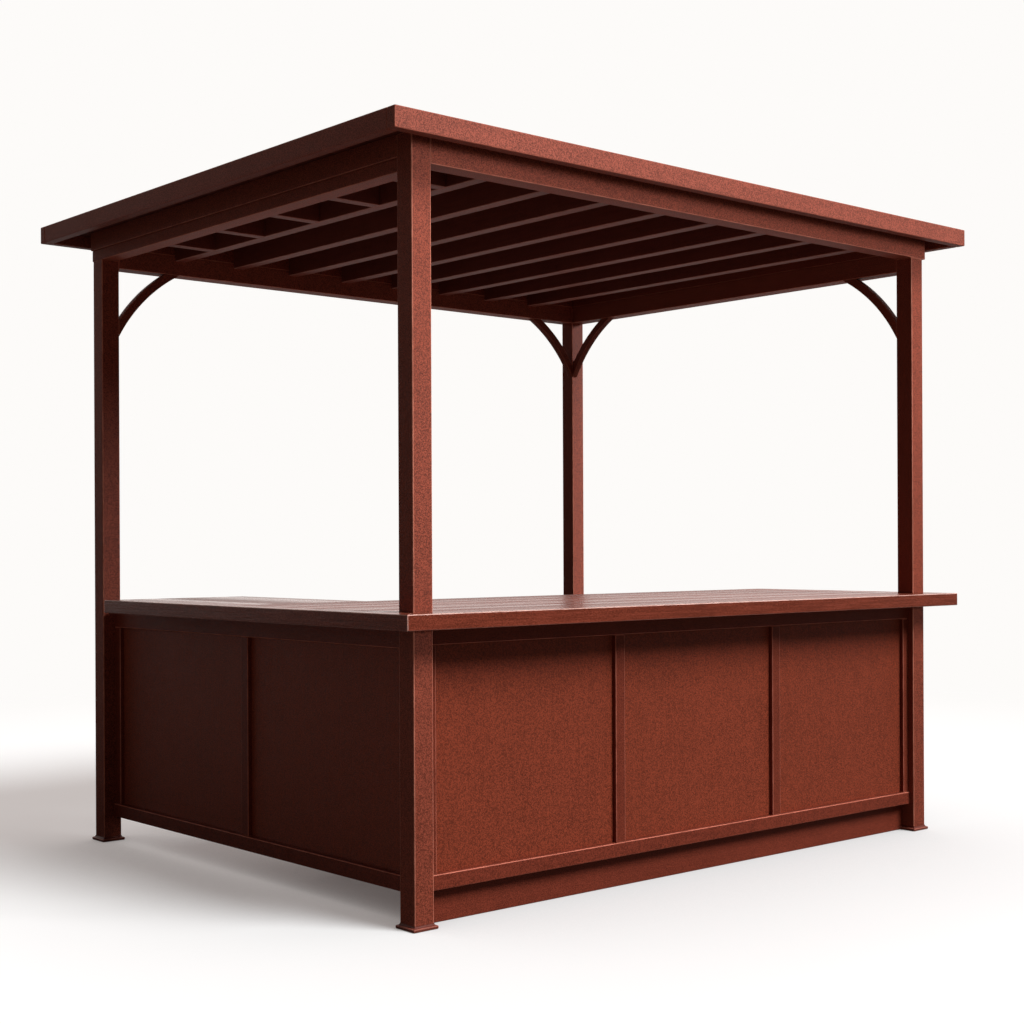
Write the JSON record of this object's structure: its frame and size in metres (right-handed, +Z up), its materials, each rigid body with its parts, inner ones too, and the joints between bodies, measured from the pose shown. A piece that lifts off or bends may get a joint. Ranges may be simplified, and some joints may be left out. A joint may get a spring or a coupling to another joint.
{
  "type": "garden bar pavilion",
  "caption": "Open timber garden pavilion with a flat roof on posts and beams, arched braces, panelled front and left sides, and an L-shaped bar top round the posts.",
  "frame": {"origin": "on the ground under the middle of the roof, which is the bottom centre of the bounding box", "axes": "+X along the front bar run to the right as a guest sees it, +Y from the front bar run to the open back, +Z up"},
  "size_m": [3.31, 2.685, 2.79],
  "materials": {
    "stain": "red-brown stained timber, fine speckle",
    "edge_stain": "red-brown stained timber, fine speckle",
    "roof_stain": "dark red-brown stained timber",
    "bar_stain": "red-brown stained boards, satin",
    "panel_stain": "dark red-brown stained boards",
    "frame_stain": "dark red-brown stained timber",
    "plate": "painted steel plate"
  },
  "bodies": {
    "root": {"post_front_left": "stain", "post_front_right": "stain", "post_back_left": "stain", "post_back_right": "stain", "front_beam": "stain", "left_beam": "stain", "left_header": "stain", "back_beam": "stain", "back_header": "stain", "right_beam": "stain", "right_header": "stain", "brace_back_left": "stain", "brace_back_right": "stain", "brace_right_back": "stain", "brace_right_front": "stain", "fascia_front": "edge_stain", "fascia_back": "edge_stain", "fascia_left": "edge_stain", "fascia_right": "edge_stain", "rafter_1": "roof_stain", "rafter_2": "roof_stain", "rafter_3": "roof_stain", "rafter_4": "roof_stain", "rafter_5": "roof_stain", "rafter_6": "roof_stain", "rafter_7": "roof_stain", "rafter_8": "roof_stain", "noggins": "roof_stain", "roof_deck": "roof_stain", "bar_top_front": "bar_stain", "bar_top_left": "bar_stain", "front_panels": "panel_stain", "left_panels": "panel_stain", "front_top_rail": "frame_stain", "front_bottom_rail": "frame_stain", "front_stiles": "frame_stain", "plinth": "frame_stain", "left_top_rail": "frame_stain", "left_bottom_rail": "frame_stain", "left_stiles": "frame_stain", "bar_bearers": "frame_stain", "bar_legs": "frame_stain", "base_plates": "plate"}
  },
  "joints": []
}
